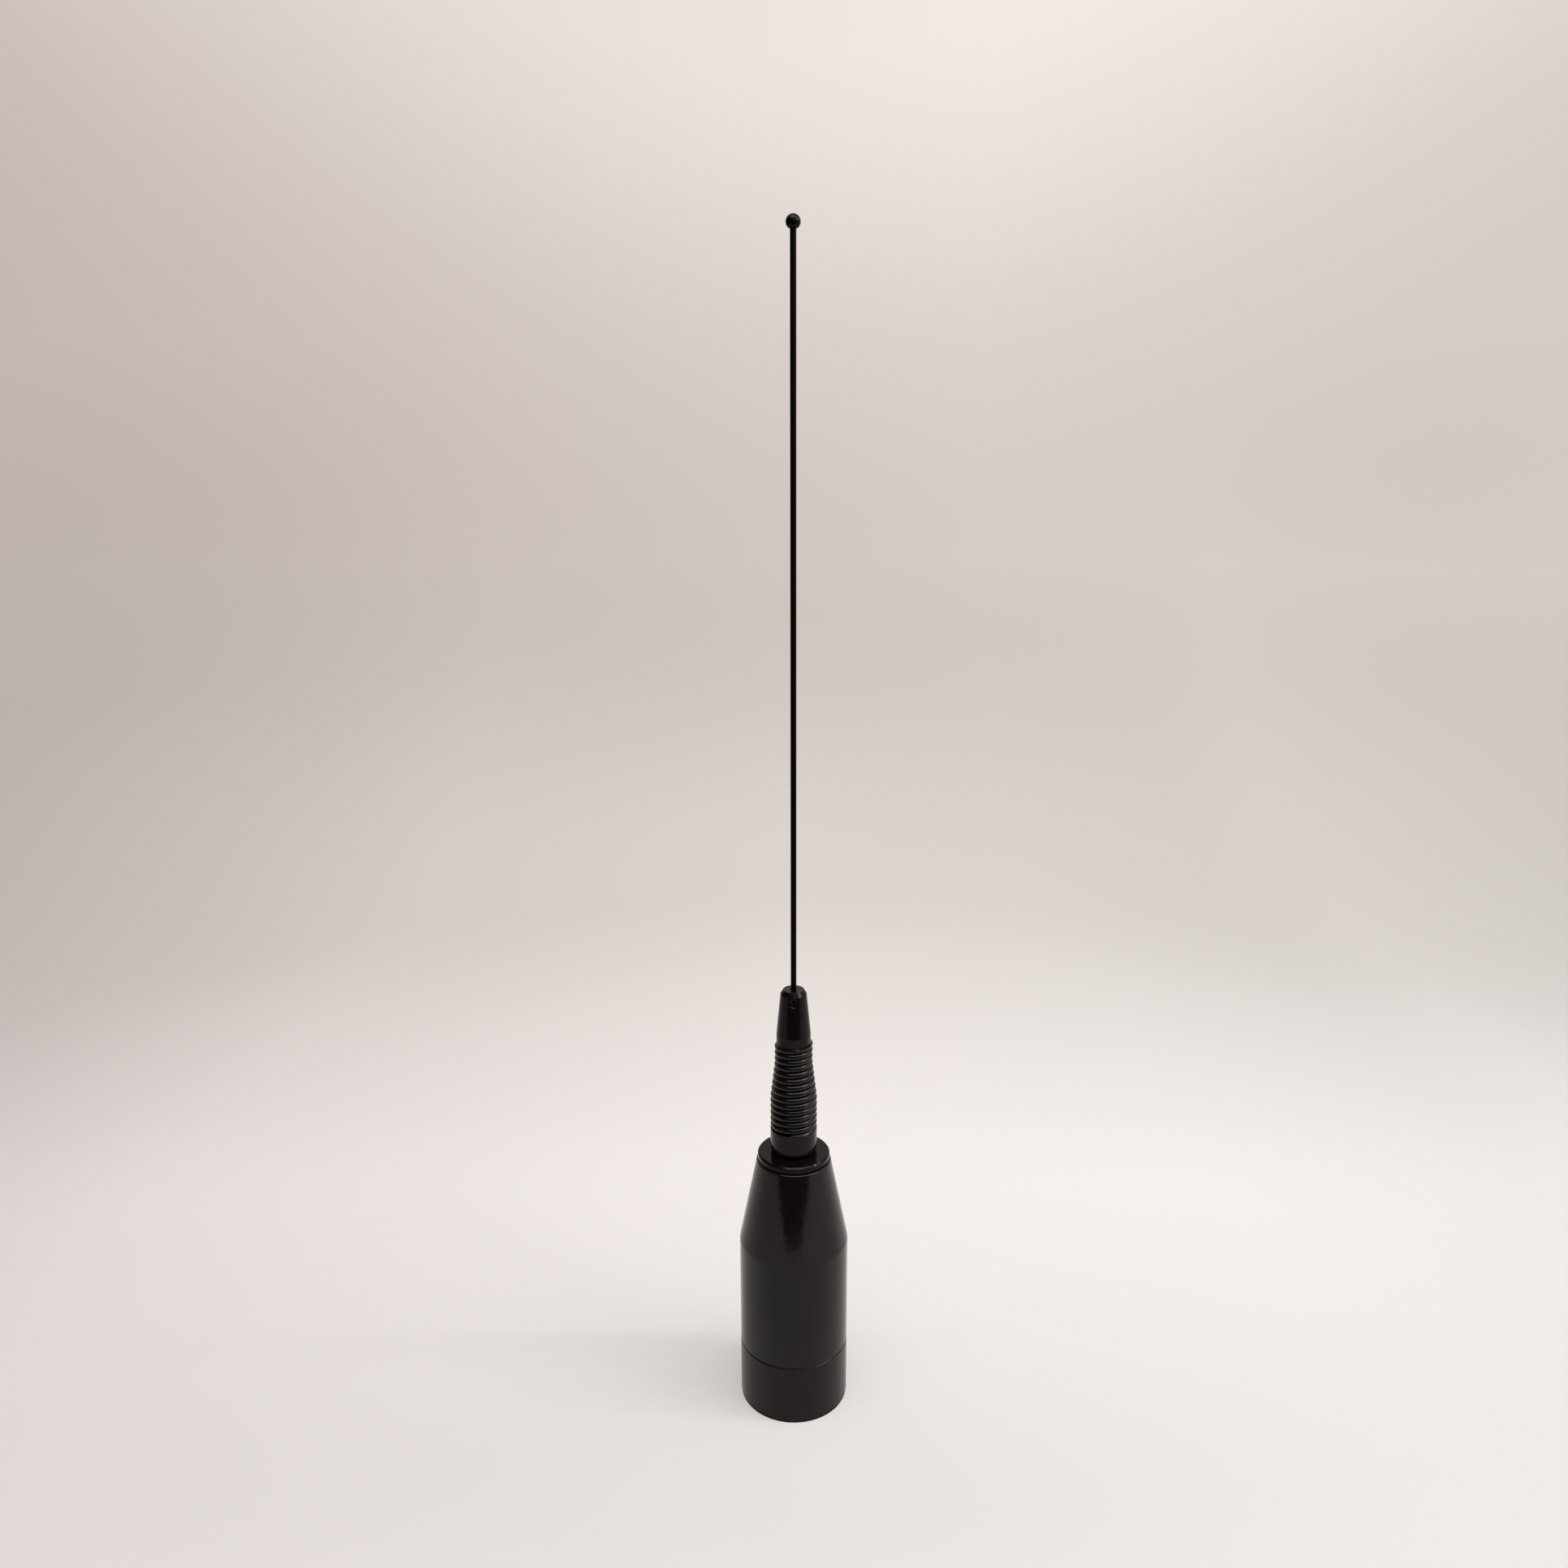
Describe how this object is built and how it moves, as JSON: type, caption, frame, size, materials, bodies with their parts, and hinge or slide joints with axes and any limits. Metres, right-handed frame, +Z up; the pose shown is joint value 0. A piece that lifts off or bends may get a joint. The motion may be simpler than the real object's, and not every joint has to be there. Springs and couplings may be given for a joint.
{
  "type": "vehicle whip antenna",
  "caption": "Omnidirectional vehicle whip antenna: threaded roof-mount base, coil housing with a conical top, close-wound shock spring, tapered ferrule and a straight whip with a ball tip.",
  "frame": {"origin": "centre of the gasket's underside, where the antenna sits on the roof", "axes": "+Z up along the whip, -Y towards the set screw that the picture shows in front"},
  "size_m": [0.038, 0.038, 0.3959],
  "materials": {
    "black_housing": "gloss moulded black",
    "black_plated_metal": "gloss black plating",
    "black_spring_steel": "semi-gloss black coating on spring steel",
    "black_oxide_steel": "black oxide",
    "black_rubber": "matte rubber",
    "brass": "turned brass",
    "tinned_brass": "tin plated",
    "copper": "bare copper",
    "bright_steel": "bright zinc",
    "white_insulator": "natural moulded plastic",
    "brown_former": "phenolic tube"
  },
  "bodies": {
    "base": {"base_gasket": "black_rubber", "base_ring": "black_housing", "thread_insert": "brass", "contact_insulator": "white_insulator", "insulator_screws": "bright_steel", "ground_lug": "tinned_brass", "contact_barrel": "brass", "contact_spring": "bright_steel", "barrel_cap": "tinned_brass", "housing_seal": "black_rubber", "housing_shell": "black_housing", "coil_former": "brown_former", "loading_coil": "copper", "feed_lead": "copper", "stud_lug": "tinned_brass", "stud_lock_washer": "bright_steel", "stud_nut": "brass", "top_stud": "brass", "top_seal": "black_rubber", "top_disc": "black_plated_metal", "spring_adapter": "black_plated_metal"},
    "spring": {"shock_spring": "black_spring_steel", "shunt_braid": "copper"},
    "ferrule": {"whip_ferrule": "black_plated_metal", "ferrule_set_screw": "black_oxide_steel"},
    "whip": {"whip": "black_spring_steel", "tip_ball": "black_plated_metal"},
    "contact": {"contact_plunger": "brass"}
  },
  "joints": [
    {"name": "spring_lean_fore_aft", "type": "hinge", "parent": "base", "child": "spring", "pos_m": [0, 0, 0.11412], "axis": [1, 0, 0], "range_deg": [-30, 30], "stiffness_Nm_per_rad": 0.55, "deforming": ["shock_spring", "shunt_braid"]},
    {"name": "spring_lean_sideways", "type": "hinge", "parent": "spring", "child": "ferrule", "pos_m": [0, 0, 0.12538], "axis": [0, 1, 0], "range_deg": [-30, 30], "stiffness_Nm_per_rad": 0.55, "deforming": ["shock_spring", "shunt_braid"]},
    {"name": "whip_trim", "type": "slide", "parent": "ferrule", "child": "whip", "axis": [0, 0, 1], "range_m": [-0.004, 0.01]},
    {"name": "contact_press", "type": "slide", "parent": "base", "child": "contact", "axis": [0, 0, 1], "range_m": [0, 0.002], "stiffness_N_per_m": 800, "springref_m": -0.0025, "deforming": ["contact_spring"]}
  ]
}
